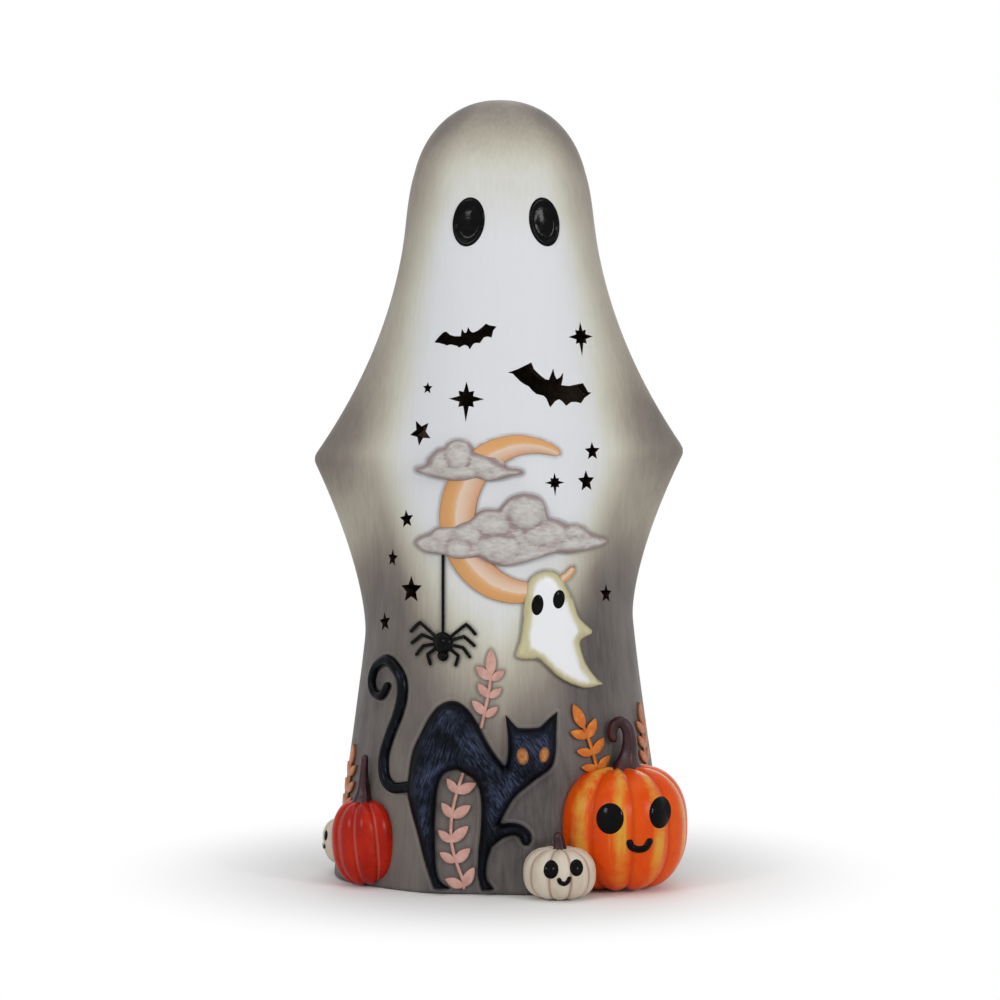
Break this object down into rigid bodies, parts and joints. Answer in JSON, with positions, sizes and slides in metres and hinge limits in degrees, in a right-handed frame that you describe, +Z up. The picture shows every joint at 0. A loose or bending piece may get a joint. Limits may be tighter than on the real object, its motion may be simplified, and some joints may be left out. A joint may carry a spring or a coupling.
{
  "type": "ghost figure",
  "caption": "Hollow ceramic ghost figure with pierced bats and stars, relief cat, moon, clouds and pumpkins, lit from inside by a push-in battery light.",
  "frame": {"origin": "on the drape's axis, in the plane of the flat base that the figure stands on", "axes": "+Z up, -Y is the way the figure faces, +X to the right as seen from the front"},
  "size_m": [0.1151, 0.1028, 0.24],
  "materials": {
    "ghost_glaze": "matt painted, airbrushed grey at the edges",
    "black_gloss": "gloss black glaze",
    "moon_paint": "matt peach paint",
    "cloud_paint": "matt grey-lilac wash",
    "cat_paint": "satin blue-black, dry-brushed",
    "amber_paint": "satin amber paint",
    "small_ghost_paint": "matt white with cream edges",
    "pink_leaf": "matt dusty pink",
    "orange_leaf": "satin copper orange",
    "orange_pumpkin": "satin orange with yellow strokes",
    "white_pumpkin": "satin cream with pink grooves",
    "red_pumpkin": "satin red",
    "stem_brown": "satin maroon brown",
    "housing_plastic": "fine spark texture",
    "grip_silicone": "translucent matt",
    "cell_jacket": "plain printed sleeve",
    "contact_metal": "nickel plated",
    "screw_steel": "zinc plated",
    "board_green": "solder mask",
    "resistor_black": "chip body",
    "lamp_epoxy": "clear warm tinted",
    "diffuser_frost": "frosted",
    "switch_black": "moulded",
    "wire_jacket": "soft jacket"
  },
  "bodies": {
    "ceramic_figure": {"ghost_body": "ghost_glaze", "left_eye": "black_gloss", "right_eye": "black_gloss", "moon": "moon_paint", "upper_cloud": "cloud_paint", "lower_cloud": "cloud_paint", "spider": "black_gloss", "spider_thread": "black_gloss", "small_ghost": "small_ghost_paint", "small_ghost_eyes": "black_gloss", "cat": "cat_paint", "cat_eyes": "amber_paint", "cat_tail": "cat_paint", "upper_pink_sprig": "pink_leaf", "lower_pink_sprig": "pink_leaf", "orange_sprig": "orange_leaf", "left_side_sprig": "orange_leaf", "right_side_sprig": "orange_leaf", "large_pumpkin": "orange_pumpkin", "large_pumpkin_stem": "stem_brown", "large_pumpkin_face": "black_gloss", "white_pumpkin": "white_pumpkin", "white_pumpkin_stem": "stem_brown", "white_pumpkin_face": "black_gloss", "red_pumpkin": "red_pumpkin", "red_pumpkin_stem": "stem_brown", "side_pumpkin": "white_pumpkin", "side_pumpkin_stem": "stem_brown", "side_pumpkin_face": "black_gloss"},
    "light_unit": {"light_housing": "housing_plastic", "grip_ring": "grip_silicone", "housing_cover": "housing_plastic", "batteries": "cell_jacket", "battery_contacts": "contact_metal", "circuit_board": "board_green", "board_screws": "screw_steel", "resistor": "resistor_black", "led_lamp": "lamp_epoxy", "light_diffuser": "diffuser_frost", "switch_body": "switch_black", "lead_wires": "wire_jacket"},
    "battery_door": {"battery_door": "housing_plastic", "door_screw": "screw_steel"},
    "switch_slider": {"switch_slider": "switch_black"}
  },
  "joints": [
    {"name": "light_unit_pull", "type": "slide", "parent": "ceramic_figure", "child": "light_unit", "axis": [0, 0, -1], "range_m": [0, 0.045]},
    {"name": "battery_door_lift", "type": "slide", "parent": "light_unit", "child": "battery_door", "axis": [0, 0, -1], "range_m": [0, 0.012]},
    {"name": "switch_slide", "type": "slide", "parent": "light_unit", "child": "switch_slider", "axis": [1, 0, 0], "range_m": [0, 0.0025]}
  ]
}
